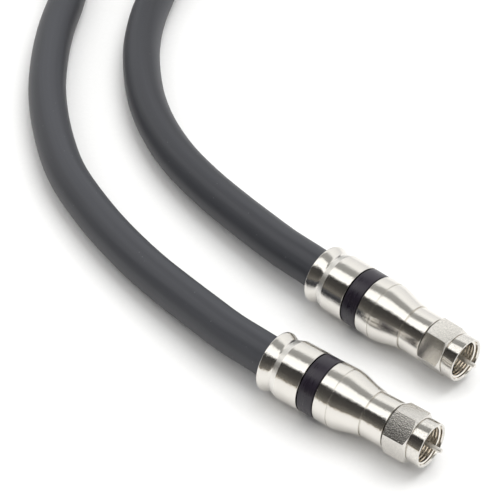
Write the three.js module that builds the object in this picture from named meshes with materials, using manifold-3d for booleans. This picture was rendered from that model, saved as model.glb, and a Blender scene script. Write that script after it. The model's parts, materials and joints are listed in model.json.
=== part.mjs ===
// A coil of thick coaxial cable with a compression-type F connector on each end.
// Millimetres, +Z up. The coil lies on three ties, and both ends reach out of it
// side by side along the floor, each with its connector lying level.
import * as THREE from 'three';
import { mergeVertices } from 'three/addons/utils/BufferGeometryUtils.js';
import Module from 'manifold-3d';

const wasm = await Module();
wasm.setup();

// General fits
const CLEARANCE = 0.3;
const OVERCUT = 0.5;
const ROUND_SIDES = 24;
const NUT_SIDES = 36;
const CONDUCTOR_SIDES = 16;

// Cable
const CABLE_DIAMETER = 10.16;
const CABLE_RADIUS = CABLE_DIAMETER / 2;
const DIELECTRIC_DIAMETER = 7.2;
const CONDUCTOR_DIAMETER = 1.1;
const LEAD_SIDES = 12;
const LEAD_STEP = 14;

// Coil: rows of turns from the floor up, set out and in by turns by a share of the pitch
const COIL_MEAN_RADIUS = 54.5;
const TURN_PITCH = 10.6;
const ROW_SLACK = 0.15;
const ROWS = 4;
const TURNS_IN_ROW = 3;
const ROW_STAGGER = 0.25;
const COIL_SIDES = 48;
const TURN_ARC_STEP = THREE.MathUtils.degToRad(44);

// Ties round the bundle
const TIE_WIDTH = 4.8;
const TIE_THICKNESS = 1.3;
const TIE_ANGLES = [15, 135, 255];
const TIE_HEAD_WIDTH = 8;
const TIE_HEAD_HEIGHT = 6.4;
const TIE_HEAD_DEPTH = 5;
const TIE_ARC_STEP = THREE.MathUtils.degToRad(20);

// Connector lengths along its axis, from the front of the nut to the rear
const COLLAR_LENGTH = 3.4;
const NUT_LENGTH = 9.9;
const NUT_GAP = 0.5;
const NOSE_LENGTH = 5.25;
const TAPER_LENGTH = 8.1;
const BODY_CYLINDER_LENGTH = 4.15;
const RING_LENGTH = 4.4;
const SLEEVE_CYLINDER_LENGTH = 6.3;
const NECK_LENGTH = 3.1;
const RIM_LENGTH = 2.1;
const GROOVE_WIDTH = 0.4;
const GROOVE_DEPTH = 0.25;

// The neck and the taper as points: [share of its length, share of its change of radius]
const NECK_CURVE = [[0.5, 0.75], [0.75, 1]];
const TAPER_CURVE = [[0.25, 0.16], [0.5, 0.46], [0.75, 0.78], [1, 1]];

// Connector diameters
const SLEEVE_DIAMETER = 15;
const RIM_DIAMETER = 15;
const NECK_DIAMETER = 13.2;
const RING_DIAMETER = 14.8;
const WAIST_DIAMETER = 11.9;
const NOSE_DIAMETER = 11.4;
const NOSE_EDGE = 0.6;
const NUT_ACROSS_FLATS = 11.11;
const COLLAR_DIAMETER = 11;
const NUT_CHAMFER = 1;
const NUT_FACE_INSET = 0.2;
const HEXAGON_SIDES = 6;
const THREAD_BORE = 9;
const NUT_LIP_LENGTH = 1.5;
const THREAD_CHAMFER = 0.4;
const EDGE = 0.25;
const RIM_EDGE = 0.7;

// Post: the flanged tube inside, which the nut turns on
const FLANGE_THICKNESS = 1.2;
const FLANGE_RECESS = 0.4;
const POST_WALL = 0.25;
const POST_CLEARANCE = 0.1;
const JACKET_DEPTH = 2.5;
const TAIL_LENGTH = 3.4;
const RING_WALL = 0.7;
const CONDUCTOR_REACH = 2.7;

// Where each connector lies: the centre of its mouth, where the cable goes in, the turn of
// its axis from +X towards -Y, and how far its nut happens to be turned
const CONNECTORS = {
  a: { mouth: new THREE.Vector2(7.78, -47.21), turn: 38.2, nutTurn: -7 },
  b: { mouth: new THREE.Vector2(20.02, -17.16), turn: 43.3, nutTurn: 29 },
};
const AXIS_HEIGHT = SLEEVE_DIAMETER / 2;

// The route of each lead after it leaves its connector's mouth, up to the coil
const LEAD_ROUTES = {
  a: [
    [3.4, -43.3, 7.45], [-3.0, -37.2, 7.1], [-9.0, -30.3, 6.7], [-14.8, -23.5, 6.3], [-22.4, -14.2, 5.8],
    [-30.2, -3.3, 5.5], [-36.9, 7.6, 5.3], [-44.8, 23.4, 5.2], [-49.3, 39, 5.15], [-52.2, 57.3, 5.15],
    [-52.6, 72, 5.15], [-51.7, 86.5, 5.15], [-49.5, 101, 5.15], [-48.2, 117, 5.15], [-48.9, 133, 5.15],
    [-51.5, 149, 5.3], [-56, 164.5, 5.6], [-65, 185, 6.4],
  ],
  b: [
    [15.9, -13, 7.45], [10.2, -7, 7.1], [4.6, -0.2, 6.8], [-0.7, 6.4, 6.5], [-9.8, 18.7, 6.0],
    [-18.2, 33.1, 5.5], [-24.9, 52, 5.2], [-27.6, 74.7, 5.15], [-26.6, 90.6, 5.15], [-24.1, 102.5, 5.6],
    [-20.4, 115.5, 7.2], [-15.4, 129.2, 10.8], [-9, 142.3, 17.2], [-1.4, 154.3, 25.6], [6.5, 163.5, 32.4],
    [13.5, 169.3, 35.6], [20, 173, 36.9],
  ],
};

// How far each lead's end stands off the middle of the outermost turn that it joins
const LEAD_STANDOFF = { a: 9.7, b: 4.9 };

const METAL = { color: 0xcfcbc4, roughness: 0.28, metalness: 1 };

/** Merges the shared vertices of a geometry, so that it is one closed skin. */
function welded(geometry) {
  const skin = geometry.clone();
  skin.deleteAttribute('normal');
  skin.deleteAttribute('uv');
  return mergeVertices(skin, 1e-4);
}

/** Turns a geometry, placed by a matrix, into a solid that can be joined and cut. */
function toSolid(geometry, matrix = new THREE.Matrix4()) {
  const skin = welded(geometry.clone().applyMatrix4(matrix));
  return new wasm.Manifold(new wasm.Mesh({
    numProp: 3,
    vertProperties: new Float32Array(skin.attributes.position.array),
    triVerts: new Uint32Array(skin.index.array),
  }));
}

/** Turns a joined or cut solid back into a geometry. */
function toGeometry(solid) {
  const mesh = solid.getMesh();
  const geometry = new THREE.BufferGeometry();
  geometry.setAttribute('position', new THREE.BufferAttribute(new Float32Array(mesh.vertProperties), 3));
  geometry.setIndex(new THREE.BufferAttribute(new Uint32Array(mesh.triVerts), 1));
  geometry.computeVertexNormals();
  return geometry;
}

/** A solid of revolution about Y. The profile lists [radius, station] and runs round the section. */
function turned(profile, sides = ROUND_SIDES) {
  const points = profile.map(([radius, station]) => new THREE.Vector2(radius, station));
  if (profile[0][0] > 0) {
    points.push(points[0].clone());
  }
  return new THREE.LatheGeometry(points, sides);
}

const finishedParts = new THREE.Group();
finishedParts.name = 'coaxial_cable_coil';

/** Adds one named piece to a group. */
function addPiece(parent, name, geometry, finish) {
  const piece = new THREE.Mesh(welded(geometry), new THREE.MeshStandardMaterial(finish));
  piece.name = name;
  parent.add(piece);
  return piece;
}

// Stations along a connector's axis, counted from the front face of its nut
const bodyFront = NUT_LENGTH + NUT_GAP;
const bodyWaist = bodyFront + NOSE_LENGTH;
const bodyShoulder = bodyWaist + TAPER_LENGTH;
const ringFront = bodyShoulder + BODY_CYLINDER_LENGTH;
const ringRear = ringFront + RING_LENGTH;
const sleeveShoulder = ringRear + SLEEVE_CYLINDER_LENGTH;
const rimFront = sleeveShoulder + NECK_LENGTH;
const sleeveRear = rimFront + RIM_LENGTH;
const tailRear = ringRear + TAIL_LENGTH;
const lipFront = NUT_LENGTH - NUT_LIP_LENGTH;
const flangeRear = lipFront - CLEARANCE;
const flangeFront = flangeRear - FLANGE_THICKNESS;
const postRear = ringFront - JACKET_DEPTH;
const jacketSeat = postRear - CLEARANCE;

// Radii that fit round each other, from the cable's core outwards
const sleeveRadius = SLEEVE_DIAMETER / 2;
const cableBore = CABLE_RADIUS + CLEARANCE;
const ringInside = RING_DIAMETER / 2 - RING_WALL;
const tailOutside = ringInside - CLEARANCE;
const coreRadius = DIELECTRIC_DIAMETER / 2;
const postInside = coreRadius + POST_CLEARANCE;
const postOutside = postInside + POST_WALL;
const nutLipBore = postOutside + CLEARANCE;

/** The compression sleeve: a rolled rim at the mouth, a drawn-in neck and a plain cylinder. */
function makeSleeve() {
  const front = ringRear + CLEARANCE / 2;
  const counterbore = tailRear + CLEARANCE;
  const rimRadius = RIM_DIAMETER / 2;
  const neckRadius = NECK_DIAMETER / 2;
  const neck = NECK_CURVE.map(([along, inwards]) => [
    sleeveRadius + (neckRadius - sleeveRadius) * inwards, sleeveShoulder + NECK_LENGTH * along,
  ]);
  return turned([
    [ringInside, front], [sleeveRadius - EDGE, front], [sleeveRadius, front + EDGE], [sleeveRadius, sleeveShoulder],
    ...neck, [neckRadius, rimFront - EDGE],
    [rimRadius - EDGE, rimFront], [rimRadius, rimFront + EDGE * 2],
    [rimRadius, sleeveRear - RIM_EDGE], [rimRadius - RIM_EDGE, sleeveRear],
    [cableBore + EDGE, sleeveRear], [cableBore, sleeveRear - RIM_EDGE],
    [cableBore, counterbore], [ringInside, counterbore],
  ]);
}

/** The plastic band between the sleeve and the body. */
function makeRing() {
  const outer = RING_DIAMETER / 2;
  const rear = ringRear - CLEARANCE / 2;
  const front = ringFront + CLEARANCE / 2;
  return turned([[ringInside, front], [outer, front], [outer, rear], [ringInside, rear]]);
}

/** A square groove turned into the body, from the radius in front of it to the one behind it. */
function groove(frontRadius, rearRadius, station) {
  const rear = station + GROOVE_WIDTH;
  const floor = Math.min(frontRadius, rearRadius) - GROOVE_DEPTH;
  return [[frontRadius, station], [floor, station], [floor, rear], [rearRadius, rear]];
}

/** The body: a short cylinder, a long taper to the waist and a nose, with a tail inside the sleeve. */
function makeBody() {
  const rear = ringFront - CLEARANCE / 2;
  const waist = WAIST_DIAMETER / 2;
  const nose = NOSE_DIAMETER / 2;
  const taperStart = bodyWaist + GROOVE_WIDTH;
  const taper = TAPER_CURVE.map(([along, outwards]) => [
    waist + (sleeveRadius - waist) * outwards, taperStart + (bodyShoulder - taperStart) * along,
  ]);
  return turned([
    [nutLipBore, bodyFront], [nose - NOSE_EDGE, bodyFront], [nose, bodyFront + NOSE_EDGE],
    ...groove(nose, waist, bodyWaist), ...taper, ...groove(sleeveRadius, sleeveRadius, bodyShoulder).slice(1),
    [sleeveRadius, rear - EDGE], [sleeveRadius - EDGE, rear], [tailOutside, rear], [tailOutside, tailRear],
    [cableBore, tailRear], [cableBore, jacketSeat], [nutLipBore, jacketSeat],
  ]);
}

/** The post: a thin tube with the flange that holds the nut. */
function makePost() {
  const flangeRadius = THREAD_BORE / 2 - CLEARANCE / 2;
  return turned([
    [postInside, flangeFront], [flangeRadius, flangeFront], [flangeRadius, flangeRear],
    [postOutside, flangeRear], [postOutside, postRear], [postInside, postRear],
  ]);
}

/** The cable's foam core, cut a little below the flange. */
function makeDielectric() {
  const radius = coreRadius - POST_CLEARANCE;
  const bore = CONDUCTOR_DIAMETER / 2 + POST_CLEARANCE * 2;
  const front = flangeFront + FLANGE_RECESS;
  return turned([[bore, front], [radius, front], [radius, postRear], [bore, postRear]]);
}

/** The centre conductor, which stands out past the nut as the contact pin. */
function makeConductor() {
  const radius = CONDUCTOR_DIAMETER / 2;
  const tip = -CONDUCTOR_REACH;
  return turned([
    [0, tip], [radius / 2, tip], [radius, tip + radius], [radius, postRear], [0, postRear],
  ], CONDUCTOR_SIDES);
}

/** The hexagon of the nut, with both its ends chamfered by a turned envelope. */
function makeHexagon() {
  const cornerRadius = NUT_ACROSS_FLATS / 2 / Math.cos(Math.PI / 6);
  const length = NUT_LENGTH - COLLAR_LENGTH;
  const place = new THREE.Matrix4().makeTranslation(0, COLLAR_LENGTH + length / 2, 0);
  const prism = toSolid(new THREE.CylinderGeometry(cornerRadius, cornerRadius, length, HEXAGON_SIDES), place);
  const faceRadius = NUT_ACROSS_FLATS / 2 - NUT_FACE_INSET;
  const overCorner = cornerRadius + OVERCUT;
  const envelope = toSolid(turned([
    [0, COLLAR_LENGTH - OVERCUT], [faceRadius, COLLAR_LENGTH - OVERCUT], [faceRadius, COLLAR_LENGTH],
    [overCorner, COLLAR_LENGTH + NUT_CHAMFER], [overCorner, NUT_LENGTH - NUT_CHAMFER], [faceRadius, NUT_LENGTH],
    [faceRadius, NUT_LENGTH + OVERCUT], [0, NUT_LENGTH + OVERCUT],
  ], NUT_SIDES));
  return prism.intersect(envelope);
}

/** The coupling nut: a chamfered hexagon with a round collar in front and the threaded bore. */
function makeNut() {
  const collarRadius = COLLAR_DIAMETER / 2;
  const collarRear = COLLAR_LENGTH + NUT_CHAMFER;
  const collar = toSolid(turned([
    [0, 0], [collarRadius - EDGE, 0], [collarRadius, EDGE], [collarRadius, collarRear], [0, collarRear],
  ], NUT_SIDES));
  const bore = THREAD_BORE / 2;
  const mouth = bore + THREAD_CHAMFER;
  const hollow = toSolid(turned([
    [0, -OVERCUT], [mouth, -OVERCUT], [mouth, 0], [bore, THREAD_CHAMFER], [bore, lipFront],
    [nutLipBore, lipFront], [nutLipBore, NUT_LENGTH + OVERCUT], [0, NUT_LENGTH + OVERCUT],
  ], NUT_SIDES));
  return toGeometry(makeHexagon().add(collar).subtract(hollow));
}

/** The unit vector that points out of a connector's front. */
function outwardAxis({ turn }) {
  const angle = THREE.MathUtils.degToRad(turn);
  return new THREE.Vector3(Math.cos(angle), -Math.sin(angle), 0);
}

/** The point on a connector's axis at a station. */
function axisPoint(place, station) {
  const mouth = new THREE.Vector3(place.mouth.x, place.mouth.y, AXIS_HEIGHT);
  return mouth.addScaledVector(outwardAxis(place), sleeveRear - station);
}

/** A straight stretch inside the connector, then the route over the floor. */
function makeLead(place, route) {
  const start = postRear + CLEARANCE;
  const mouth = sleeveRear + CLEARANCE;
  const inside = [start, (start * 2 + mouth) / 3, (start + mouth * 2) / 3, mouth].map((s) => axisPoint(place, s));
  const outside = route.map(([x, y, z]) => new THREE.Vector3(x, y, z));
  const path = new THREE.CatmullRomCurve3([...inside, ...outside], false, 'centripetal');
  const section = new THREE.Shape();
  for (let side = 0; side < LEAD_SIDES; side += 1) {
    const angle = (side + 0.5) / LEAD_SIDES * Math.PI * 2;
    const corner = [CABLE_RADIUS * Math.cos(angle), CABLE_RADIUS * Math.sin(angle)];
    if (side === 0) {
      section.moveTo(...corner);
    } else {
      section.lineTo(...corner);
    }
  }
  const steps = Math.round(path.getLength() / LEAD_STEP);
  return new THREE.ExtrudeGeometry(section, { steps, extrudePath: path, bevelEnabled: false });
}

const rowRise = CABLE_DIAMETER + ROW_SLACK;
const firstRowHeight = TIE_THICKNESS + CLEARANCE + CABLE_RADIUS;

/** The centre of one turn in the bundle's section: [distance from the coil's axis, height]. */
function turnCentre(row, place) {
  const stagger = row % 2 === 0 ? ROW_STAGGER : -ROW_STAGGER;
  const across = (place - (TURNS_IN_ROW - 1) / 2 + stagger) * TURN_PITCH;
  return new THREE.Vector2(COIL_MEAN_RADIUS + across, firstRowHeight + row * rowRise);
}

/** The outermost or the innermost turn of a row. */
function outermost(row) {
  return turnCentre(row, TURNS_IN_ROW - 1);
}

function innermost(row) {
  return turnCentre(row, 0);
}

/** The coil's centre, from the ends of both leads: each end lies against the outermost turn. */
function placeCoil() {
  const [endA, endB] = [LEAD_ROUTES.a, LEAD_ROUTES.b].map((route) => new THREE.Vector2(...route.at(-1).slice(0, 2)));
  const reachA = outermost(0).x + LEAD_STANDOFF.a;
  const reachB = outermost(0).x + LEAD_STANDOFF.b;
  const between = endB.clone().sub(endA);
  const gap = between.length();
  const along = (reachA ** 2 - reachB ** 2 + gap ** 2) / (2 * gap);
  const away = Math.sqrt(reachA ** 2 - along ** 2);
  const forward = between.normalize();
  const sideways = new THREE.Vector2(-forward.y, forward.x);
  return endA.clone().addScaledVector(forward, along).addScaledVector(sideways, away);
}
const coilCentre = placeCoil();

/** The turns on the outside of the bundle's section, in order: up the outer side, over the top and down. */
function outerTurns() {
  const rows = Array.from({ length: ROWS }, (_, row) => row);
  const middle = Array.from({ length: TURNS_IN_ROW - 2 }, (_, place) => place + 1);
  const top = middle.map((place) => turnCentre(ROWS - 1, place)).reverse();
  const bottom = middle.map((place) => turnCentre(0, place));
  return [...rows.map(outermost), ...top, ...rows.map(innermost).reverse(), ...bottom];
}

/** The outline round a ring of circles: an arc on each, from the neighbour before to the one after. */
function arcsRound(centres, radius, arcStep, cornerOf) {
  const outline = [];
  centres.forEach((centre, index) => {
    const before = centres[(index + centres.length - 1) % centres.length];
    const after = centres[(index + 1) % centres.length];
    const [from, to] = cornerOf(centre, before, after);
    const sweep = THREE.MathUtils.euclideanModulo(to - from, Math.PI * 2);
    const count = Math.max(1, Math.round(sweep / arcStep));
    for (let step = 0; step <= count; step += 1) {
      const angle = from + sweep * step / count;
      outline.push(new THREE.Vector2(centre.x + radius * Math.cos(angle), centre.y + radius * Math.sin(angle)));
    }
  });
  return outline;
}

/** The wound bundle as one turned solid, whose outline shows each turn. */
function makeCoil() {
  const valley = THREE.MathUtils.degToRad(20);
  const outline = arcsRound(outerTurns(), CABLE_RADIUS, TURN_ARC_STEP, (centre, before, after) => [
    before.clone().sub(centre).angle() + valley,
    after.clone().sub(centre).angle() - valley,
  ]);
  const coil = turned(outline.map((point) => [point.x, point.y]), COIL_SIDES);
  coil.rotateX(Math.PI / 2);
  coil.translate(coilCentre.x, coilCentre.y, 0);
  return coil;
}

/** The corner turns that a band round the bundle leans on. */
function tieCorners() {
  const top = ROWS - 1;
  return [outermost(0), outermost(top - 1), outermost(top), innermost(top), innermost(1), innermost(0)];
}

/** A tie: a flat band round the bundle with its locking head in the coil's bore. */
function makeTie(angle) {
  const bandOutline = (radius) => arcsRound(tieCorners(), radius, TIE_ARC_STEP, (centre, before, after) => [
    centre.clone().sub(before).angle() - Math.PI / 2,
    after.clone().sub(centre).angle() - Math.PI / 2,
  ]);
  const insideRadius = CABLE_RADIUS + CLEARANCE;
  const outsideRadius = insideRadius + TIE_THICKNESS;
  const band = new THREE.Shape(bandOutline(outsideRadius));
  band.holes.push(new THREE.Path(bandOutline(insideRadius).reverse()));
  const strap = new THREE.ExtrudeGeometry(band, { depth: TIE_WIDTH, bevelEnabled: false, steps: 1 });
  strap.translate(0, 0, -TIE_WIDTH / 2);
  const headHeight = (innermost(1).y + innermost(ROWS - 1).y) / 2;
  const headBack = innermost(1).x - insideRadius - CLEARANCE;
  const head = new THREE.BoxGeometry(TIE_HEAD_DEPTH, TIE_HEAD_HEIGHT, TIE_HEAD_WIDTH);
  const headPlace = new THREE.Matrix4().makeTranslation(headBack - TIE_HEAD_DEPTH / 2, headHeight, 0);
  const tie = toGeometry(toSolid(strap).add(toSolid(head, headPlace)));
  tie.rotateX(Math.PI / 2);
  tie.rotateZ(THREE.MathUtils.degToRad(angle));
  tie.translate(coilCentre.x, coilCentre.y, 0);
  return tie;
}

/** The coil, its ties and the two free leads. */
function addCable() {
  const jacket = { color: 0x3a3a3e, roughness: 0.6, metalness: 0 };
  const nylon = { color: 0x1b1b1d, roughness: 0.45, metalness: 0 };
  addPiece(finishedParts, 'cable_coil', makeCoil(), jacket);
  for (const [end, place] of Object.entries(CONNECTORS)) {
    addPiece(finishedParts, `cable_lead_${end}`, makeLead(place, LEAD_ROUTES[end]), jacket);
  }
  TIE_ANGLES.forEach((angle, index) => {
    addPiece(finishedParts, `cable_tie_${index + 1}`, makeTie(angle), nylon);
  });
}

/** One connector, laid level at its place with its front facing out along its axis. */
function addConnector(end, place) {
  const connector = new THREE.Group();
  addPiece(connector, `compression_sleeve_${end}`, makeSleeve(), METAL);
  addPiece(connector, `plastic_ring_${end}`, makeRing(), { color: 0x1d1c1f, roughness: 0.4, metalness: 0 });
  addPiece(connector, `connector_body_${end}`, makeBody(), METAL);
  addPiece(connector, `post_${end}`, makePost(), METAL);
  addPiece(connector, `dielectric_${end}`, makeDielectric(), { color: 0xe9e6de, roughness: 0.7, metalness: 0 });
  addPiece(connector, `centre_conductor_${end}`, makeConductor(), METAL);
  const nut = addPiece(connector, `coupling_nut_${end}`, makeNut(), METAL);
  nut.rotation.y = THREE.MathUtils.degToRad(place.nutTurn);
  connector.rotation.z = Math.PI / 2 - THREE.MathUtils.degToRad(place.turn);
  connector.position.copy(axisPoint(place, 0));
  finishedParts.add(connector);
}

addCable();
for (const [end, place] of Object.entries(CONNECTORS)) {
  addConnector(end, place);
}

// The origin is on the floor under the middle of the whole coil and its leads
finishedParts.updateMatrixWorld(true);
const extent = new THREE.Box3().setFromObject(finishedParts, true);
const middle = extent.getCenter(new THREE.Vector3());
finishedParts.position.set(-middle.x, -middle.y, -extent.min.z);
finishedParts.updateMatrixWorld(true);

export default finishedParts;
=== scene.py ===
# A coil of thick coaxial cable with a compression F connector on each end, both ends laid
# side by side on a pale floor. Metres, +Z up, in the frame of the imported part.
import json
import math

import bmesh
import bpy
import numpy as np
from mathutils import Matrix, Vector


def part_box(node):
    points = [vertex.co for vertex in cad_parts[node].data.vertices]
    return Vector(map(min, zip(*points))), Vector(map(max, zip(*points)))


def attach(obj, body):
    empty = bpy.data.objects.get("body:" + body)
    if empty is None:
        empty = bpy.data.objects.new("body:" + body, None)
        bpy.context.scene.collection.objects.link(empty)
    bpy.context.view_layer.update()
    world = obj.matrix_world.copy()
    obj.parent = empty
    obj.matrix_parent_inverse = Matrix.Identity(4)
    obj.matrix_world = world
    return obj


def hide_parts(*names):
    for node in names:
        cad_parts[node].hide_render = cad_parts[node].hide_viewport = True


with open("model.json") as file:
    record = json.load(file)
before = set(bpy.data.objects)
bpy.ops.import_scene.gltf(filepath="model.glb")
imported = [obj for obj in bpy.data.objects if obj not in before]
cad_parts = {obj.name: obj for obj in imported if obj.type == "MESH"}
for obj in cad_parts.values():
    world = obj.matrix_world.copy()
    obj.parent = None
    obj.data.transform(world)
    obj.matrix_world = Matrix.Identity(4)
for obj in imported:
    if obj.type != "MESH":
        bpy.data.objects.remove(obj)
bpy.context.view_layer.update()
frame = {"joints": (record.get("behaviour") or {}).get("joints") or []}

# The camera stands on the side that both connectors point to, half a metre away behind a long
# lens, and looks down as the photograph does. The coil stays just above the top of the picture.
# Routes are laid out from the picture's middle, with the front of nut a at NOSE_A_LAID.
MM = 0.001
NOSE_A_LAID = Vector((42.2, -74.296, 7.5))
CAMERA_DISTANCE = 550.3 * MM
CAMERA_ELEVATION = math.radians(41.53)
FOCAL_LENGTH = 163.64
SENSOR_WIDTH = 36
NEAREST_SEEN = 10 * MM

joints = {joint["child"][-1]: joint for joint in frame["joints"]}
nose_a = Vector(joints["a"]["pos_m"])
layout = nose_a - NOSE_A_LAID * MM

camera_data = bpy.data.cameras.new("camera")
camera_data.sensor_fit = "HORIZONTAL"
camera_data.sensor_width = SENSOR_WIDTH
camera_data.lens = FOCAL_LENGTH
camera_data.clip_start = NEAREST_SEEN
camera = bpy.data.objects.new("camera", camera_data)
away = Vector((0, -math.cos(CAMERA_ELEVATION), math.sin(CAMERA_ELEVATION)))
camera.location = layout + away * CAMERA_DISTANCE
camera.rotation_euler = (-away).to_track_quat("-Z", "Y").to_euler()
bpy.context.scene.collection.objects.link(camera)
bpy.context.scene.camera = camera

# The cable is one length of 75 ohm trunk cable: a copper core in foam, braid and foil, all
# inside an extruded charcoal PVC jacket. It is stiff, so both ends lie in wide bends and climb
# only a little to their connectors. The rest is wound in four rows of three turns.
CABLE_DIAMETER = 10.16 * MM
CABLE_SIDES = 32
CABLE_STEP = 4 * MM
CABLE_START = 25.7 * MM
MOUTH = 43.8 * MM
STEPS_INSIDE = 3
CURVE_STEPS = 6
HARD_EDGE = math.radians(35)
ROUTE_A = [
    (3.4, -43.3, 7.45), (-3.0, -37.2, 7.1), (-9.0, -30.3, 6.7), (-14.8, -23.5, 6.3), (-22.4, -14.2, 5.8),
    (-30.2, -3.3, 5.5), (-36.9, 7.6, 5.3), (-44.8, 23.4, 5.2), (-49.3, 39, 5.15), (-52.2, 57.3, 5.15),
    (-52.6, 72, 5.15), (-51.7, 86.5, 5.15), (-49.5, 101, 5.15), (-48.2, 117, 5.15), (-48.9, 133, 5.15),
    (-51.5, 149, 5.3), (-56, 164.5, 5.6), (-65, 185, 6.4),
]
ROUTE_B = [
    (15.9, -13, 7.45), (10.2, -7, 7.1), (4.6, -0.2, 6.8), (-0.7, 6.4, 6.5), (-9.8, 18.7, 6.0),
    (-18.2, 33.1, 5.5), (-24.9, 52, 5.2), (-27.6, 74.7, 5.15), (-26.6, 90.6, 5.15), (-24.1, 102.5, 5.6),
    (-20.4, 115.5, 7.2), (-15.4, 129.2, 10.8), (-9, 142.3, 17.2), (-1.4, 154.3, 25.6), (6.5, 163.5, 32.4),
    (13.5, 169.3, 35.6), (20, 173, 36.9),
]

COIL_MEAN_RADIUS = 54.5 * MM
TURN_PITCH = 10.6 * MM
ROW_RISE = CABLE_DIAMETER + 0.15 * MM
FIRST_ROW_HEIGHT = 6.68 * MM
ROWS = 4
TURNS_IN_ROW = 3
ROW_STAGGER = 0.25
COIL_START = math.radians(200)
COIL_STEP = 6
LAST_ANGLE = 258
SHIFT_START = 70
SHIFT_END = 270
CLIMB_START = 0.3
CHANGE_SWING = 0.25


def smooth(share):
    """An even start and stop between 0 and 1."""
    share = min(max(share, 0.0), 1.0)
    return share ** 3 * (share * (6 * share - 15) + 10)


def turn_place(row, place):
    """Distance from the coil's axis and height of a turn in the bundle's section."""
    stagger = ROW_STAGGER if row % 2 == 0 else -ROW_STAGGER
    across = place - (TURNS_IN_ROW - 1) / 2 + stagger
    return COIL_MEAN_RADIUS + TURN_PITCH * across, FIRST_ROW_HEIGHT + ROW_RISE * row


def wound_places():
    """The turns in the order they are wound: inwards on even rows and back outwards on odd ones."""
    places = []
    for row in range(ROWS):
        order = range(TURNS_IN_ROW)
        places.extend(turn_place(row, place) for place in (reversed(order) if row % 2 == 0 else order))
    return places


def strand_place(places, turn, angle):
    """Distance and height of a turn at an angle. In one long stretch all turns shift over to the
    next place together, and the turn that changes rows swings out round its neighbour."""
    distance, height = places[turn]
    leaving = (distance + TURN_PITCH, height)
    next_distance, next_height = places[turn + 1] if turn + 1 < len(places) else leaving
    share = (angle - SHIFT_START) / (SHIFT_END - SHIFT_START)
    moved = distance + (next_distance - distance) * smooth(share)
    if next_height == height:
        return moved, height
    swing = math.copysign(CHANGE_SWING * TURN_PITCH, distance - COIL_MEAN_RADIUS)
    moved += swing * math.sin(math.pi * min(max(share, 0), 1)) ** 2
    climbed = smooth((share - CLIMB_START) / (1 - CLIMB_START))
    return moved, height + (next_height - height) * climbed


coil_low, coil_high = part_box("cable_coil")
coil_centre = (coil_low + coil_high) / 2


def coil_route():
    """Points along all the turns, clockwise from where the first lead arrives."""
    places = wound_places()
    points = []
    whole = 360 * (len(places) - 1) + LAST_ANGLE
    for angle in range(0, whole + 1, COIL_STEP):
        distance, height = strand_place(places, *divmod(angle, 360))
        turned_to = COIL_START - math.radians(angle)
        x = coil_centre.x + distance * math.cos(turned_to)
        y = coil_centre.y + distance * math.sin(turned_to)
        points.append((x, y, height))
    return points


def outward_axis(end):
    """The unit vector out of the front of a connector."""
    return Vector(joints[end]["axis"]).normalized()


def axis_point(end, station):
    """A point on a connector's axis, so far behind the front face of its nut."""
    return Vector(joints[end]["pos_m"]) - outward_axis(end) * station


def lead_route(end, route):
    """The straight stretch inside a connector, then the route over the floor to the coil."""
    step = (MOUTH - CABLE_START) / STEPS_INSIDE
    inside = [axis_point(end, CABLE_START + step * count) for count in range(STEPS_INSIDE + 1)]
    outside = [layout + Vector(point) * MM for point in route]
    return [tuple(point) for point in inside + outside]


def even_points(points, step):
    """A centripetal curve through the points, cut into equal steps."""
    through = np.array(points)
    through = np.vstack([2 * through[0] - through[1], through, 2 * through[-1] - through[-2]])
    fine = []
    for before, start, end, after in zip(through, through[1:], through[2:], through[3:]):
        knots = np.cumsum([0] + [np.linalg.norm(q - p) ** 0.5 for p, q in
                                 ((before, start), (start, end), (end, after))])
        for at in np.linspace(knots[1], knots[2], CURVE_STEPS, endpoint=False):
            rung = [p + (q - p) * (at - a) / (b - a) for p, q, a, b in
                    ((before, start, knots[0], knots[1]), (start, end, knots[1], knots[2]),
                     (end, after, knots[2], knots[3]))]
            low = rung[0] + (rung[1] - rung[0]) * (at - knots[0]) / (knots[2] - knots[0])
            high = rung[1] + (rung[2] - rung[1]) * (at - knots[1]) / (knots[3] - knots[1])
            fine.append(low + (high - low) * (at - knots[1]) / (knots[2] - knots[1]))
    fine.append(through[-2])
    fine = np.array(fine)
    along = np.concatenate([[0], np.cumsum(np.linalg.norm(np.diff(fine, axis=0), axis=1))])
    marks = np.linspace(0, along[-1], round(along[-1] / step) + 1)
    return np.column_stack([np.interp(marks, along, fine[:, axis]) for axis in range(3)])


def add_mesh(name, points, faces):
    """One smooth-shaded mesh object with its faces pointing out and its hard edges kept."""
    mesh = bpy.data.meshes.new(name)
    mesh.from_pydata([tuple(point) for point in points], [], faces)
    shell = bmesh.new()
    shell.from_mesh(mesh)
    bmesh.ops.recalc_face_normals(shell, faces=shell.faces)
    shell.to_mesh(mesh)
    shell.free()
    mesh.shade_smooth()
    mesh.set_sharp_from_angle(angle=HARD_EDGE)
    piece = bpy.data.objects.new(name, mesh)
    bpy.context.scene.collection.objects.link(piece)
    return piece


def mark_places(piece, places):
    """Keeps each point's own place on the part, for grain that follows the part's making."""
    layer = piece.data.attributes.new("made_place", "FLOAT_VECTOR", "POINT")
    layer.data.foreach_set("vector", np.array(places, dtype=float).ravel())


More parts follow.
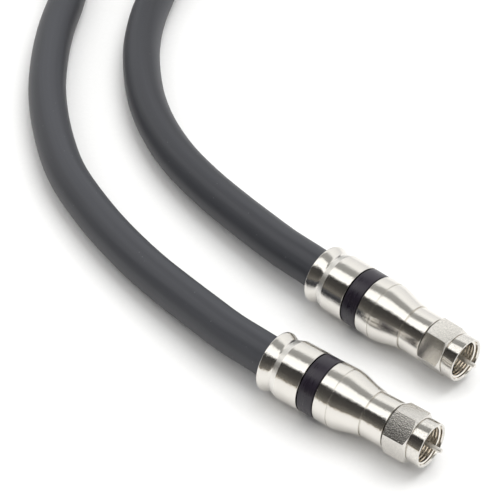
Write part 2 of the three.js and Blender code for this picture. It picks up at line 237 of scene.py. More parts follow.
def add_tube(name, path, radius, sides):
    """A round tube along a path, closed at both ends, without twist."""
    heading = np.gradient(path, axis=0)
    heading /= np.linalg.norm(heading, axis=1)[:, None]
    side = np.cross(heading[0], (0, 0, 1))
    turns = np.arange(sides) / sides * 2 * math.pi
    rings = []
    for point, ahead in zip(path, heading):
        side = side - ahead * side.dot(ahead)
        side /= np.linalg.norm(side)
        up = np.cross(side, ahead)
        rings.append(point + radius * (np.outer(np.cos(turns), side) + np.outer(np.sin(turns), up)))
    faces = []
    for ring in range(len(path) - 1):
        start = ring * sides
        for place in range(sides):
            after = (place + 1) % sides
            faces.append((start + place, start + after, start + sides + after, start + sides + place))
    faces.append(tuple(range(sides - 1, -1, -1)))
    faces.append(tuple(range((len(path) - 1) * sides, len(path) * sides)))
    tube = add_mesh(name, np.concatenate(rings), faces)
    step = np.linalg.norm(path[1] - path[0])
    along = np.repeat(np.arange(len(path)) * step, sides)
    round_it = np.tile(turns, len(path))
    mark_places(tube, np.column_stack([radius * np.cos(round_it), radius * np.sin(round_it), along]))
    return tube


class Finish:
    """A material under construction: its nodes, and short ways to add and join them."""

    def __init__(self, name):
        self.material = bpy.data.materials.new(name)
        self.material.use_nodes = True
        self.tree = self.material.node_tree
        self.shader = self.tree.nodes["Principled BSDF"]

    def add(self, kind, **settings):
        """Adds a node. Settings are its properties, or values of its sockets in capitals or numbers."""
        node = self.tree.nodes.new(kind)
        for key, value in settings.items():
            if hasattr(node, key):
                setattr(node, key, value)
            else:
                node.inputs[key.replace("_", " ")].default_value = value
        return node

    def join(self, source, target):
        self.tree.links.new(source, target)

    def place(self, scale, attribute="made_place"):
        """The marked place, stretched by a scale for each axis."""
        read = self.add("ShaderNodeAttribute", attribute_name=attribute)
        stretch = self.add("ShaderNodeMapping")
        stretch.inputs["Scale"].default_value = scale
        self.join(read.outputs["Vector"], stretch.inputs["Vector"])
        return stretch.outputs["Vector"]

    def noise(self, vector, scale, detail=3.0, roughness=0.5):
        node = self.add("ShaderNodeTexNoise", Scale=scale, Detail=detail, Roughness=roughness)
        self.join(vector, node.inputs["Vector"])
        return node.outputs["Fac"]

    def spread(self, value, low, high, to_low=0.0, to_high=1.0):
        """Maps a range of a value to another range, held at its ends."""
        node = self.add("ShaderNodeMapRange")
        for socket, number in zip(("From Min", "From Max", "To Min", "To Max"), (low, high, to_low, to_high)):
            node.inputs[socket].default_value = number
        self.join(value, node.inputs["Value"])
        return node.outputs["Result"]

    def blend(self, share, first, second):
        """Mixes two colours, each a colour or another node's output."""
        node = self.add("ShaderNodeMix", data_type="RGBA")
        for socket, colour in ((node.inputs[6], first), (node.inputs[7], second)):
            if isinstance(colour, bpy.types.NodeSocket):
                self.join(colour, socket)
            else:
                socket.default_value = (*colour, 1)
        self.join(share, node.inputs[0])
        return node.outputs[2]

    def bump(self, height, strength, distance, before=None):
        """Relief from a height, on top of relief that is there already."""
        node = self.add("ShaderNodeBump", Strength=strength, Distance=distance)
        self.join(height, node.inputs["Height"])
        if before is not None:
            self.join(before, node.inputs["Normal"])
        return node.outputs["Normal"]


DARK_JACKET = (0.023, 0.024, 0.029)
WORN_JACKET = (0.050, 0.052, 0.060)
DUST = (0.3, 0.3, 0.31)
DUST_COVER = 0.35


def jacket_finish():
    """Charcoal PVC: dull, with faint lengthwise bands from the die, fine grain and a few specks of dust."""
    finish = Finish("charcoal_jacket")
    bands = finish.noise(finish.place((260, 260, 5)), 1.0, 3.0, 0.55)
    colour = finish.blend(finish.spread(bands, 0.3, 0.7), DARK_JACKET, WORN_JACKET)
    specks = finish.add("ShaderNodeTexVoronoi", Scale=420.0)
    finish.join(finish.place((1, 1, 1)), specks.inputs["Vector"])
    chosen = finish.spread(specks.outputs["Distance"], 0.03, 0.06, 1.0, 0.0)
    colour = finish.blend(finish.spread(chosen, 0, 1, 0, DUST_COVER), colour, DUST)
    finish.join(colour, finish.shader.inputs["Base Color"])
    finish.join(finish.spread(bands, 0.2, 0.8, 0.42, 0.6), finish.shader.inputs["Roughness"])
    grain = finish.noise(finish.place((1, 1, 1)), 2600.0, 2.0)
    relief = finish.bump(grain, 0.25, 0.04 * MM)
    marks = finish.noise(finish.place((1, 1, 0.25)), 700.0, 2.0, 0.6)
    finish.join(finish.bump(marks, 0.3, 0.06 * MM, relief), finish.shader.inputs["Normal"])
    return finish.material


cable_path = even_points(
    lead_route("a", ROUTE_A) + coil_route() + lead_route("b", ROUTE_B)[::-1], CABLE_STEP)
cable = add_tube("cable", cable_path, CABLE_DIAMETER / 2, CABLE_SIDES)
cable.data.materials.append(jacket_finish())
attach(cable, "cable")
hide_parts("cable_coil", "cable_lead_a", "cable_lead_b")


# Three nylon ties hold the bundle. Each is a moulded strap that goes round the outer turns and
# through its own locking head, which lies in the coil's bore with the strap cut off flush.
TIE_ANGLES = (15, 135, 255)
TIE_WIDTH = 4.8 * MM
TIE_THICKNESS = 1.3 * MM
TIE_EDGE = 0.3 * MM
TIE_ARC_STEP = math.radians(7)
TIE_CLEARANCE = 0.3 * MM
HEAD_WIDTH = 8 * MM
HEAD_HEIGHT = 6.4 * MM
HEAD_DEPTH = 5 * MM
HEAD_EDGE = 0.7 * MM
WINDOW_WALL = 1.2 * MM
WINDOW_DEPTH = 1.6 * MM
CUT_END_OUT = 0.5 * MM


def tie_corners():
    """The turns that a strap leans on, up the outer side, over the top and down the inner side."""
    top = ROWS - 1
    outer = [turn_place(row, TURNS_IN_ROW - 1) for row in (0, top - 1, top)]
    return outer + [turn_place(row, 0) for row in (top, 1, 0)]


def strap_line(radius):
    """The closed line of a strap: distance, height and direction outwards at each of its points."""
    corners = tie_corners()
    line = []
    for before, centre, after in zip(corners[-1:] + corners[:-1], corners, corners[1:] + corners[:1]):
        start = math.atan2(centre[1] - before[1], centre[0] - before[0]) - math.pi / 2
        stop = math.atan2(after[1] - centre[1], after[0] - centre[0]) - math.pi / 2
        sweep = (stop - start) % (2 * math.pi)
        steps = max(2, round(sweep / TIE_ARC_STEP))
        for angle in (start + sweep * step / steps for step in range(steps + 1)):
            line.append((centre[0] + radius * math.cos(angle), centre[1] + radius * math.sin(angle), angle))
    return line


def rounded_box(shell, low, high, edge):
    """Adds a block with rounded edges to a mesh."""
    size = Vector(high) - Vector(low)
    middle = (Vector(high) + Vector(low)) / 2
    placed = Matrix.Translation(middle) @ Matrix.Diagonal((*size, 1))
    made = bmesh.ops.create_cube(shell, size=1, matrix=placed)
    edges = list({line for point in made["verts"] for line in point.link_edges})
    bmesh.ops.bevel(shell, geom=edges, offset=edge, segments=3, profile=0.5, affect="EDGES")


def add_tie(number, angle):
    """One tie in the plane through the coil's axis: strap, head with its window, and cut end."""
    shell = bmesh.new()
    inside = CABLE_DIAMETER / 2 + TIE_CLEARANCE
    half, thick = TIE_WIDTH / 2, TIE_THICKNESS / 2
    section = [(half - TIE_EDGE, -thick), (half, TIE_EDGE - thick)]
    section += [(half, thick - TIE_EDGE), (half - TIE_EDGE, thick)]
    section += [(-across, out) for across, out in reversed(section)]
    rings = []
    for distance, height, outwards in strap_line(inside + thick):
        ring = []
        for across, out in section:
            x = distance + out * math.cos(outwards)
            z = height + out * math.sin(outwards)
            ring.append(shell.verts.new((x, across, z)))
        rings.append(ring)
    for ring, after in zip(rings, rings[1:] + rings[:1]):
        for place in range(len(section)):
            beside = (place + 1) % len(section)
            shell.faces.new((ring[place], ring[beside], after[beside], after[place]))
    corners = tie_corners()
    head_middle = (corners[3][1] + corners[4][1]) / 2
    head_back = corners[4][0] - inside - TIE_CLEARANCE
    low = (head_back - HEAD_DEPTH, -HEAD_WIDTH / 2, head_middle - HEAD_HEIGHT / 2)
    high = (head_back, HEAD_WIDTH / 2, head_middle + HEAD_HEIGHT / 2)
    rounded_box(shell, low, high, HEAD_EDGE)
    shell.faces.ensure_lookup_table()
    front = min(shell.faces, key=lambda face: face.calc_center_median().x - face.calc_area())
    bmesh.ops.inset_individual(shell, faces=[front], thickness=WINDOW_WALL)
    bmesh.ops.inset_individual(shell, faces=[front], thickness=TIE_EDGE / 10, depth=-WINDOW_DEPTH)
    cut_low = (head_back - HEAD_DEPTH - CUT_END_OUT, -TIE_WIDTH / 2, head_middle - TIE_THICKNESS)
    rounded_box(shell, cut_low, (head_back, TIE_WIDTH / 2, head_middle), TIE_EDGE / 2)
    places = [tuple(point.co) for point in shell.verts]
    at_coil = Matrix.Translation((coil_centre.x, coil_centre.y, 0))
    shell.transform(at_coil @ Matrix.Rotation(math.radians(angle), 4, "Z"))
    points = [tuple(point.co) for point in shell.verts]
    shell.verts.index_update()
    faces = [tuple(point.index for point in face.verts) for face in shell.faces]
    shell.free()
    tie = add_mesh(f"tie_{number}", points, faces)
    mark_places(tie, places)
    return tie


def nylon_finish():
    """Black nylon as it leaves the mould: half dull, with a faint sheen and flow marks."""
    finish = Finish("black_nylon")
    flow = finish.noise(finish.place((300, 300, 300)), 1.0, 3.0)
    colour = finish.blend(flow, (0.012, 0.012, 0.013), (0.022, 0.022, 0.024))
    finish.join(colour, finish.shader.inputs["Base Color"])
    finish.join(finish.spread(flow, 0.2, 0.8, 0.38, 0.52), finish.shader.inputs["Roughness"])
    grain = finish.noise(finish.place((1, 1, 1)), 3000.0, 2.0)
    finish.join(finish.bump(grain, 0.2, 0.02 * MM), finish.shader.inputs["Normal"])
    return finish.material


nylon = nylon_finish()
for number, angle in enumerate(TIE_ANGLES, 1):
    tie = add_tie(number, angle)
    tie.data.materials.append(nylon)
    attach(tie, "cable")
    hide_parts(f"cable_tie_{number}")


# The compression sleeve is turned and drawn from brass tube and nickel plated. Its rolled rim
# guides the cable in, the neck before it is drawn in, and a frosted cone leads to the cylinder.
ENDS = ("a", "b")
TURNED_SIDES = 96
SLEEVE_RADIUS = 7.5
SLEEVE_FRONT = 32.45
CONE_FRONT = 38.7
CONE_REAR = 40.3
CONE_REAR_RADIUS = 6.95
NECK_RADIUS = 6.65
NECK_REAR = 41.15
FLANK_REAR = 43.0
RIM_REAR = 43.8
TAIL_BORE = 6.7
TAIL_BORE_REAR = 36.0
CABLE_BORE = 5.38
NICKEL = (0.80, 0.775, 0.73)
CLOUDED = 0.94
FROSTED = (0.86, 0.84, 0.80)
FROSTED_DULLER = 0.22
FROSTED_FADE = 0.05 * MM
TOOL_LINES = (90, 90, 2600)
CHATTER = (700, 700, 2000)


def eased(corners, steps=4):
    """A section's outline in metres from corners in millimetres: (radius, station, how far its
    corner is rounded back along both sides)."""
    outline = []
    for before, corner, after in zip(corners[-1:] + corners[:-1], corners, corners[1:] + corners[:1]):
        point = Vector(corner[:2])
        if len(corner) < 3:
            outline.append(point * MM)
            continue
        start = point + (Vector(before[:2]) - point).normalized() * corner[2]
        stop = point + (Vector(after[:2]) - point).normalized() * corner[2]
        for share in (step / steps for step in range(steps + 1)):
            outline.append((start.lerp(point, share).lerp(point.lerp(stop, share), share)) * MM)
    return outline


def add_round(name, end, points, faces, start=0.0):
    """A piece about a connector's axis, from points given as (radius, angle, station)."""
    ahead = outward_axis(end)
    side = Vector((0, 0, 1)).cross(ahead)
    nose = axis_point(end, 0)
    placed = []
    for radius, angle, station in points:
        out = side * math.cos(angle + start) + Vector((0, 0, 1)) * math.sin(angle + start)
        placed.append(nose - ahead * station + out * radius)
    piece = add_mesh(name, placed, faces)
    mark_places(piece, [(radius * math.cos(angle), radius * math.sin(angle), station)
                        for radius, angle, station in points])
    return piece


def round_columns(columns, angles):
    """Points and faces of a closed ring from one outline of (radius, station) at each angle."""
    count = len(columns[0])
    points = [(radius, angle, station)
              for outline, angle in zip(columns, angles) for radius, station in outline]
    faces = []
    for column in range(len(columns)):
        beside = (column + 1) % len(columns)
        for row in range(count):
            after = (row + 1) % count
            faces.append((column * count + row, column * count + after,
                          beside * count + after, beside * count + row))
    return points, faces


def add_turned(name, end, outline, sides=TURNED_SIDES):
    """A piece turned about a connector's axis, from the closed outline of its section."""
    angles = [turn * 2 * math.pi / sides for turn in range(sides)]
    return add_round(name, end, *round_columns([outline] * sides, angles))


def sleeve_outline():
    return eased([
        (TAIL_BORE, SLEEVE_FRONT), (SLEEVE_RADIUS, SLEEVE_FRONT, 0.15),
        (SLEEVE_RADIUS, CONE_FRONT, 0.12), (CONE_REAR_RADIUS, CONE_REAR, 0.4), (NECK_RADIUS, NECK_REAR, 0.5),
        (SLEEVE_RADIUS, FLANK_REAR, 0.2), (SLEEVE_RADIUS, RIM_REAR, 0.3), (CABLE_BORE, RIM_REAR, 0.5),
        (CABLE_BORE, TAIL_BORE_REAR), (TAIL_BORE, TAIL_BORE_REAR),
    ], steps=8)


def between(finish, station, low, high, soft):
    """1 where the station lies between two values in metres, and 0 outside, with soft ends."""
    rising = finish.spread(station, low - soft, low + soft)
    falling = finish.spread(station, high - soft, high + soft, 1.0, 0.0)
    both = finish.add("ShaderNodeMath", operation="MULTIPLY")
    finish.join(rising, both.inputs[0])
    finish.join(falling, both.inputs[1])
    return both.outputs[0]


def turned_nickel(name, frosted=None):
    """Nickel over turned brass: bright, warm, with fine tool lines round it, clouded by handling.
    A frosted stretch, given by its stations, is duller and paler."""
    finish = Finish(name)
    shader = finish.shader
    shader.inputs["Metallic"].default_value = 1.0
    clouds = finish.noise(finish.place((220, 220, 220)), 1.0, 4.0, 0.6)
    lines = finish.noise(finish.place(TOOL_LINES), 1.0, 3.0, 0.7)
    colour = finish.blend(clouds, tuple(CLOUDED * shade for shade in NICKEL), NICKEL)
    roughness = finish.spread(clouds, 0.25, 0.75, 0.10, 0.17)
    if frosted is not None:
        split = finish.add("ShaderNodeSeparateXYZ")
        finish.join(finish.place((1, 1, 1)), split.inputs[0])
        front, rear = frosted
        here = between(finish, split.outputs["Z"], front * MM, rear * MM, FROSTED_FADE)
        colour = finish.blend(here, colour, FROSTED)
        duller = finish.add("ShaderNodeMath", operation="MULTIPLY_ADD")
        finish.join(here, duller.inputs[0])
        duller.inputs[1].default_value = FROSTED_DULLER
        finish.join(roughness, duller.inputs[2])
        roughness = duller.outputs[0]
    finish.join(colour, shader.inputs["Base Color"])
    finish.join(roughness, shader.inputs["Roughness"])
    relief = finish.bump(lines, 0.5, 0.035 * MM)
    chatter = finish.noise(finish.place(CHATTER), 1.0, 3.0, 0.7)
    relief = finish.bump(chatter, 0.8, 0.06 * MM, relief)
    dents = finish.noise(finish.place((1, 1, 1)), 260.0, 2.0)
    finish.join(finish.bump(dents, 0.25, 0.12 * MM, relief), shader.inputs["Normal"])
    return finish.material


def dress(piece, material, body, slot, *nodes):
    """Gives a piece its material and the body it rides on, and hides the nodes it stands in for. The slot is
    not used.
    """
    piece.data.materials.append(material)
    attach(piece, body)
    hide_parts(*nodes)


sleeve_nickel = turned_nickel("sleeve_nickel", (CONE_FRONT, CONE_REAR))
pieces_on_end = {end: [] for end in ENDS}
for end in ENDS:
    sleeve = add_turned(f"sleeve_{end}", end, sleeve_outline())
    dress(sleeve, sleeve_nickel, "cable", "nickel_plated_brass", f"compression_sleeve_{end}")
    pieces_on_end[end].append(sleeve)


# The plastic ring is a moulded band clamped between sleeve and body. It tells the cable's size
# by its colour, and lies a hair below the metal with a fine gap at each side.
RING_RADIUS = 7.4
RING_FRONT = 28.05
RING_REAR = 32.15
RING_BORE = 6.7
RING_EDGE = 0.2


def ring_finish():
    """Black plastic with a half gloss and faint marks round it."""
    finish = Finish("ring_plastic")
    rubbed = finish.noise(finish.place((120, 120, 900)), 1.0, 4.0, 0.6)
    colour = finish.blend(rubbed, (0.008, 0.006, 0.010), (0.020, 0.015, 0.026))
    finish.join(colour, finish.shader.inputs["Base Color"])
    finish.join(finish.spread(rubbed, 0.3, 0.7, 0.2, 0.45), finish.shader.inputs["Roughness"])
    finish.join(finish.bump(rubbed, 0.25, 0.03 * MM), finish.shader.inputs["Normal"])
    return finish.material


ring_plastic = ring_finish()
for end in ENDS:
    ring = add_turned(f"ring_{end}", end, eased([
        (RING_BORE, RING_FRONT), (RING_RADIUS, RING_FRONT, RING_EDGE),
        (RING_RADIUS, RING_REAR, RING_EDGE), (RING_BORE, RING_REAR),
    ]))
    dress(ring, ring_plastic, "cable", "ring_plastic", f"plastic_ring_{end}")
    pieces_on_end[end].append(ring)


# The body is turned from brass bar and nickel plated: a short cylinder against the ring, a long
# taper between two fine grooves, and a straight nose that the nut turns against.
BODY_FRONT = 10.05
WAIST = 15.65
SHOULDER = 23.75
BODY_REAR = 27.75
WAIST_RADIUS = 5.95
NOSE_RADIUS = 5.7
GROOVE_WIDTH = 0.35
GROOVE_DEPTH = 0.22
GROOVE_EDGE = 0.07
BODY_BORE = 4.25
BODY_TAIL_RADIUS = 6.4
BODY_TAIL_REAR = 35.7
JACKET_SEAT = 25.1
TAPER_START_SLOPE = 0.15
TAPER_END_SLOPE = 0.45
TAPER_STEPS = 16


def taper_radius(share):
    """The taper swells slowly out of the waist, is steepest past its middle and eases into the shoulder."""
    swell = share * share * (3 - 2 * share)
    swell += TAPER_START_SLOPE * share * (1 - share) ** 2
    swell -= TAPER_END_SLOPE * share * share * (1 - share)
    return WAIST_RADIUS + (SLEEVE_RADIUS - WAIST_RADIUS) * swell


def cut_groove(radius, station):
    """A fine groove that starts at a station, with broken edges."""
    rear = station + GROOVE_WIDTH
    floor = radius - GROOVE_DEPTH
    return [(radius, station, GROOVE_EDGE), (floor, station, GROOVE_EDGE), (floor, rear, GROOVE_EDGE),
            (radius, rear, GROOVE_EDGE)]


def body_outline():
    taper_start = WAIST + GROOVE_WIDTH
    taper = []
    for step in range(1, TAPER_STEPS):
        share = step / TAPER_STEPS
        taper.append((taper_radius(share), taper_start + (SHOULDER - taper_start) * share))
    waist = cut_groove(NOSE_RADIUS, WAIST)
    waist[-1] = (WAIST_RADIUS, WAIST + GROOVE_WIDTH, GROOVE_EDGE)
    return eased([
        (BODY_BORE, BODY_FRONT), (NOSE_RADIUS, BODY_FRONT, 0.4), *waist, *taper,
        *cut_groove(SLEEVE_RADIUS, SHOULDER), (SLEEVE_RADIUS, BODY_REAR, 0.2), (BODY_TAIL_RADIUS, BODY_REAR),
        (BODY_TAIL_RADIUS, BODY_TAIL_REAR), (CABLE_BORE, BODY_TAIL_REAR), (CABLE_BORE, JACKET_SEAT),
        (BODY_BORE, JACKET_SEAT),
    ])


body_nickel = turned_nickel("body_nickel")
for end in ENDS:
    body = add_turned(f"body_{end}", end, body_outline())
    dress(body, body_nickel, "cable", "nickel_plated_brass", f"connector_body_{end}")
    pieces_on_end[end].append(body)


# The core shows inside the nut: the flange of the plated post, the white foam of the cable cut
# flush in it, and the bare centre conductor, which stands out in front as the contact pin.
POST_BORE = 3.7
POST_RADIUS = 3.95
FLANGE_RADIUS = 4.2
FLANGE_FRONT = 6.9
FLANGE_REAR = 8.1
POST_REAR = 25.4
FOAM_RADIUS = 3.5
FOAM_BORE = 0.75
FOAM_FRONT = 7.3
PIN_RADIUS = 0.55
PIN_TIP = -2.7
PIN_BURR = 0.12
PIN_HOLLOW = 0.0275
PIN_SIDES = 32
CORE_EDGE = 0.1


def foam_finish():
    """The cut face of foamed polyethylene: white, with fine open cells."""
    finish = Finish("foam_core")
    cells = finish.add("ShaderNodeTexVoronoi", Scale=3800.0)
    finish.join(finish.place((1, 1, 1)), cells.inputs["Vector"])
    colour = finish.blend(cells.outputs["Distance"], (0.66, 0.65, 0.62), (0.85, 0.84, 0.81))
    finish.join(colour, finish.shader.inputs["Base Color"])
    finish.shader.inputs["Roughness"].default_value = 0.7
    finish.join(finish.bump(cells.outputs["Distance"], 0.4, 0.05 * MM), finish.shader.inputs["Normal"])
    return finish.material


def wire_finish():
    """Drawn wire with fine lengthwise die lines, a little warmer than the plating."""
    finish = Finish("drawn_wire")
    finish.shader.inputs["Metallic"].default_value = 1.0
    lines = finish.noise(finish.place((5000, 5000, 60)), 1.0, 2.0)
    colour = finish.blend(lines, (0.72, 0.69, 0.64), (0.86, 0.84, 0.80))
    finish.join(colour, finish.shader.inputs["Base Color"])
    finish.join(finish.spread(lines, 0.2, 0.8, 0.24, 0.4), finish.shader.inputs["Roughness"])
    finish.join(finish.bump(lines, 0.3, 0.015 * MM), finish.shader.inputs["Normal"])
    return finish.material


foam = foam_finish()
wire = wire_finish()
for end in ENDS:
    post = add_turned(f"post_tube_{end}", end, eased([
        (POST_BORE, FLANGE_FRONT), (FLANGE_RADIUS, FLANGE_FRONT, CORE_EDGE),
        (FLANGE_RADIUS, FLANGE_REAR, CORE_EDGE), (POST_RADIUS, FLANGE_REAR),
        (POST_RADIUS, POST_REAR), (POST_BORE, POST_REAR),
    ]))
    dress(post, body_nickel, "cable", "nickel_plated_brass", f"post_{end}")
    core = add_turned(f"foam_core_{end}", end, eased([
        (FOAM_BORE, FOAM_FRONT), (FOAM_RADIUS, FOAM_FRONT, CORE_EDGE),
        (FOAM_RADIUS, POST_REAR), (FOAM_BORE, POST_REAR),
    ]))
    dress(core, foam, "cable", "foam_dielectric", f"dielectric_{end}")
    pin = add_turned(f"pin_{end}", end, eased([
        (PIN_HOLLOW, PIN_TIP), (PIN_RADIUS, PIN_TIP, PIN_BURR),
        (PIN_RADIUS, POST_REAR), (PIN_HOLLOW, POST_REAR),
    ]), PIN_SIDES)
    dress(pin, wire, "cable", "conductor_metal", f"centre_conductor_{end}")
    pieces_on_end[end] += [post, core, pin]


# The coupling nut is milled from hexagon bar: chamfered at both ends, with a round collar in
# front and a 3/8-32 thread inside. It hangs on the post's flange and turns freely.
NUT_LENGTH = 9.9
ACROSS_FLATS = 11.11
CORNER_ROUND = 0.2
FACE_RADIUS = 5.35
CHAMFER_SLOPE = 0.6
HEXAGON_FRONT = 3.4
STEP_RADIUS = 5.1
STEP_FRONT = 3.1
COLLAR_RADIUS = 5.5
MOUTH_RADIUS = 5.05
MOUTH_DEPTH = 0.35
BORE_RADIUS = 4.78
LIP_FRONT = 8.4
LIP_BORE = 4.25
COLUMN_OFFSETS = (
    0, 0.35, 0.7, 1.1, 2, 5, 9, 13, 17, 21, 25, 30, 35, 39, 43, 47, 51, 55, 58, 58.9, 59.3, 59.65,
)
NUT_TURNS = {"a": -7, "b": 29}
# Lighter than the outer nickel: painted light that brightens the thread in the shaded bore.
BORE_PAINTED_LIGHT = (0.85, 0.81, 0.75)
THREAD_PITCH = 0.794
THREAD_HEIGHT = 0.42
THREAD_BASE = 0.66
THREAD_CREST = 0.3
THREAD_START = 0.55
THREAD_END = 6.4
THREAD_STEP = math.radians(6)
THREAD_CLEAR = 0.03
LEAST_RIDGE = 0.02
FLAT_GRAIN = 0.8


def hexagon_radius(angle):
    """How far the hexagon's side lies from the axis at an angle from a corner, corners rounded."""
    half = ACROSS_FLATS / 2
    off = abs((angle + math.pi / 6) % (math.pi / 3) - math.pi / 6)
    centre = (half - CORNER_ROUND) / math.cos(math.pi / 6)
    tangent = math.atan2(CORNER_ROUND / 2, centre + CORNER_ROUND * math.cos(math.pi / 6))
    if off < tangent:
        return centre * math.cos(off) + math.sqrt(CORNER_ROUND ** 2 - (centre * math.sin(off)) ** 2)
    return half / math.cos(math.pi / 6 - off)


def nut_outline(angle):
    """The nut's section at an angle from a corner, its chamfers cut to where they meet the side."""
    side = hexagon_radius(angle)
    bevel = (side - FACE_RADIUS) * CHAMFER_SLOPE
    return eased([
        (LIP_BORE, LIP_FRONT), (BORE_RADIUS, LIP_FRONT), (BORE_RADIUS, MOUTH_DEPTH, 0.05),
        (MOUTH_RADIUS, 0, 0.06), (COLLAR_RADIUS, 0, 0.22), (COLLAR_RADIUS, STEP_FRONT, 0.1),
        (STEP_RADIUS, STEP_FRONT),
        (STEP_RADIUS, HEXAGON_FRONT), (FACE_RADIUS, HEXAGON_FRONT, 0.03),
        (side, HEXAGON_FRONT + bevel, 0.04), (side, NUT_LENGTH - bevel, 0.04),
        (FACE_RADIUS, NUT_LENGTH, 0.03), (LIP_BORE, NUT_LENGTH),
    ], steps=3)


def thread_ridge():
    """The ridge of the thread that stands in from the bore: a sharp-crested band wound as a helix,
    with both its ends run out. Gives points as (radius, angle, station) and faces."""
    points, faces = [], []
    turns = (THREAD_END - THREAD_START) / THREAD_PITCH
    steps = round(turns * 2 * math.pi / THREAD_STEP)
    for step in range(steps + 1):
        angle = step * THREAD_STEP
        middle = THREAD_START + THREAD_PITCH * angle / (2 * math.pi)
        runs_out = min(angle, steps * THREAD_STEP - angle) / math.pi
        root = BORE_RADIUS + THREAD_CLEAR
        crest = BORE_RADIUS - THREAD_HEIGHT * max(smooth(runs_out), LEAST_RIDGE)
        section = ((root, -THREAD_BASE), (crest, -THREAD_CREST), (crest, THREAD_CREST), (root, THREAD_BASE))
        for radius, along in section:
            points.append((radius * MM, angle, (middle + along / 2) * MM))
    for step in range(steps):
        for place in range(4):
            beside = (place + 1) % 4
            faces.append((step * 4 + place, step * 4 + beside, step * 4 + 4 + beside, step * 4 + 4 + place))
    faces.append((0, 1, 2, 3))
    faces.append(tuple(steps * 4 + place for place in range(4)))
    return points, faces


def nut_finish():
    """Plated hexagon bar: satin flats with a fine grain and the turned collar brighter; the bore is painted a
    lighter nickel than the outside, painted light that brightens its thread.
    """
    finish = Finish("nut_nickel")
    shader = finish.shader
    shader.inputs["Metallic"].default_value = 1.0
    split = finish.add("ShaderNodeSeparateXYZ")
    finish.join(finish.place((1, 1, 1)), split.inputs[0])
    station = split.outputs["Z"]
    flats = between(finish, station, HEXAGON_FRONT * MM, (NUT_LENGTH + 1) * MM, 0.05 * MM)
    flat = finish.add("ShaderNodeCombineXYZ")
    finish.join(split.outputs["X"], flat.inputs["X"])
    finish.join(split.outputs["Y"], flat.inputs["Y"])
    radius = finish.add("ShaderNodeVectorMath", operation="LENGTH")
    finish.join(flat.outputs[0], radius.inputs[0])
    # Painted light: the faces of the bore take the lighter bore colour.
    bore_painted_light = finish.spread(
        radius.outputs["Value"], (BORE_RADIUS + 0.02) * MM, (BORE_RADIUS + 0.12) * MM, 1.0, 0.0)
    grain = finish.noise(finish.place((1, 1, 1)), 3200.0, 2.0, 0.6)
    lines = finish.noise(finish.place(TOOL_LINES), 1.0, 3.0, 0.7)
    darker = tuple(FLAT_GRAIN * shade for shade in NICKEL)
    colour = finish.blend(finish.spread(grain, 0.35, 0.65), darker, NICKEL)
    finish.join(finish.blend(bore_painted_light, colour, BORE_PAINTED_LIGHT), shader.inputs["Base Color"])
    finish.join(finish.spread(flats, 0, 1, 0.12, 0.18), shader.inputs["Roughness"])
    chosen = finish.add("ShaderNodeMix", data_type="FLOAT")
    finish.join(flats, chosen.inputs[0])
    finish.join(lines, chosen.inputs[2])
    finish.join(grain, chosen.inputs[3])
    finish.join(finish.bump(chosen.outputs[0], 0.6, 0.035 * MM), shader.inputs["Normal"])
    return finish.material


nut_nickel = nut_finish()
angles = [math.radians(60 * sector + offset) for sector in range(6) for offset in COLUMN_OFFSETS]
nut_points, nut_faces = round_columns([nut_outline(angle) for angle in angles], angles)
ridge_points, ridge_faces = thread_ridge()
nut_faces += [tuple(len(nut_points) + place for place in face) for face in ridge_faces]
nut_points += ridge_points
for end in ENDS:
    nut = add_round(f"nut_{end}", end, nut_points, nut_faces, math.radians(90 - NUT_TURNS[end]))
    dress(nut, nut_nickel, f"nut_{end}", "nickel_plated_brass", f"coupling_nut_{end}")
    pieces_on_end[end].append(nut)


# The floor is a wide sheet of white paper, which the cables and connectors mirror from below.
FLOOR_HALF = 3.0


def paper_finish():
    """White paper with a barely visible fibre."""
    finish = Finish("white_paper")
    where = finish.add("ShaderNodeTexCoord").outputs["Object"]
    fibre = finish.noise(where, 900.0, 3.0)
    colour = finish.blend(fibre, (0.80, 0.80, 0.80), (0.84, 0.84, 0.84))
    finish.join(colour, finish.shader.inputs["Base Color"])
    finish.shader.inputs["Roughness"].default_value = 0.6
    finish.shader.inputs["Specular IOR Level"].default_value = 0.3
    finish.join(finish.bump(fibre, 0.1, 0.05 * MM), finish.shader.inputs["Normal"])
    return finish.material


corners = [(FLOOR_HALF * x, FLOOR_HALF * y, 0) for x, y in ((-1, -1), (1, -1), (1, 1), (-1, 1))]
floor = add_mesh("floor", corners, [(0, 1, 2, 3)])
floor.data.materials.append(paper_finish())


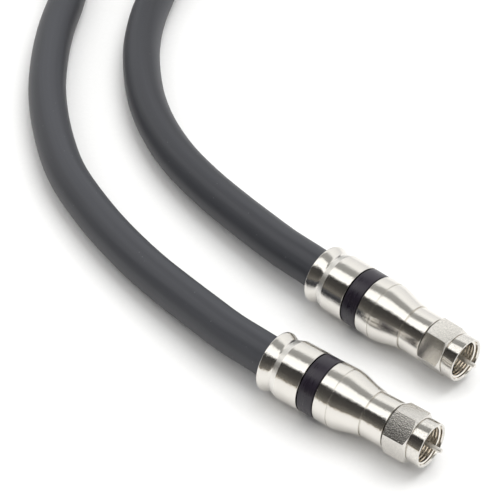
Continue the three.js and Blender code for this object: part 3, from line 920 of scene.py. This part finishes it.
# The studio: a large soft key above, a fill from the near left side, and a sky of long strips
# that run the way the connectors lie, which the metal mirrors as its lengthwise bands. Angles
# are from overhead, and grow down towards the side that both connectors turn to the camera.
KEY_FROM = Vector((0.35, 0.2, 1.2))
KEY_SIZE = 0.9
KEY_POWER = 11
FILL_FROM = Vector((-0.9, -0.5, 0.8))
FILL_SIZE = 1.2
FILL_POWER = 5
STRIPS = (
    (-90, (0.9, 0.9, 0.9)), (-45, (1.15, 1.15, 1.14)), (-35, (1.0, 1.0, 0.98)), (-31, (0.42, 0.42, 0.41)),
    (-6, (0.34, 0.34, 0.33)), (-1, (1.35, 1.34, 1.31)), (29, (1.5, 1.49, 1.46)),
    (33.5, (0.035, 0.034, 0.034)), (64, (0.08, 0.075, 0.07)), (84, (0.2, 0.19, 0.17)),
    (87, (0.10, 0.08, 0.06)), (90, (0.95, 0.86, 0.68)),
)


def studio_world():
    world = bpy.data.worlds.new("studio")
    world.use_nodes = True
    tree = world.node_tree
    look = tree.nodes.new("ShaderNodeTexCoord").outputs["Generated"]
    along = (outward_axis("a") + outward_axis("b")).normalized()
    near_side = along.cross(Vector((0, 0, 1)))
    parts = []
    for direction in (near_side, Vector((0, 0, 1))):
        part = tree.nodes.new("ShaderNodeVectorMath")
        part.operation = "DOT_PRODUCT"
        part.inputs[1].default_value = direction
        tree.links.new(look, part.inputs[0])
        parts.append(part.outputs["Value"])
    angle = tree.nodes.new("ShaderNodeMath")
    angle.operation = "ARCTAN2"
    tree.links.new(parts[0], angle.inputs[0])
    tree.links.new(parts[1], angle.inputs[1])
    share = tree.nodes.new("ShaderNodeMapRange")
    share.inputs["From Min"].default_value = -math.pi / 2
    share.inputs["From Max"].default_value = math.pi / 2
    tree.links.new(angle.outputs[0], share.inputs["Value"])
    ramp = tree.nodes.new("ShaderNodeValToRGB")
    stops = ramp.color_ramp.elements
    while len(stops) < len(STRIPS):
        stops.new(0.5)
    for stop, (degrees, shade) in zip(stops, STRIPS):
        stop.position = (degrees + 90) / 180
        stop.color = (*shade, 1)
    tree.links.new(share.outputs["Result"], ramp.inputs["Fac"])
    tree.links.new(ramp.outputs["Color"], tree.nodes["Background"].inputs["Color"])
    return world


LAMPS = (("key", KEY_FROM, KEY_SIZE, KEY_POWER), ("fill", FILL_FROM, FILL_SIZE, FILL_POWER))
for name, place, size, power in LAMPS:
    lamp_data = bpy.data.lights.new(name, "AREA")
    lamp_data.size = size
    lamp_data.energy = power
    lamp = bpy.data.objects.new(name, lamp_data)
    lamp.location = layout + place
    lamp.rotation_euler = place.to_track_quat("Z", "Y").to_euler()
    lamp.visible_glossy = False
    bpy.context.scene.collection.objects.link(lamp)
bpy.context.scene.world = studio_world()
bpy.context.scene.view_settings.view_transform = "Standard"
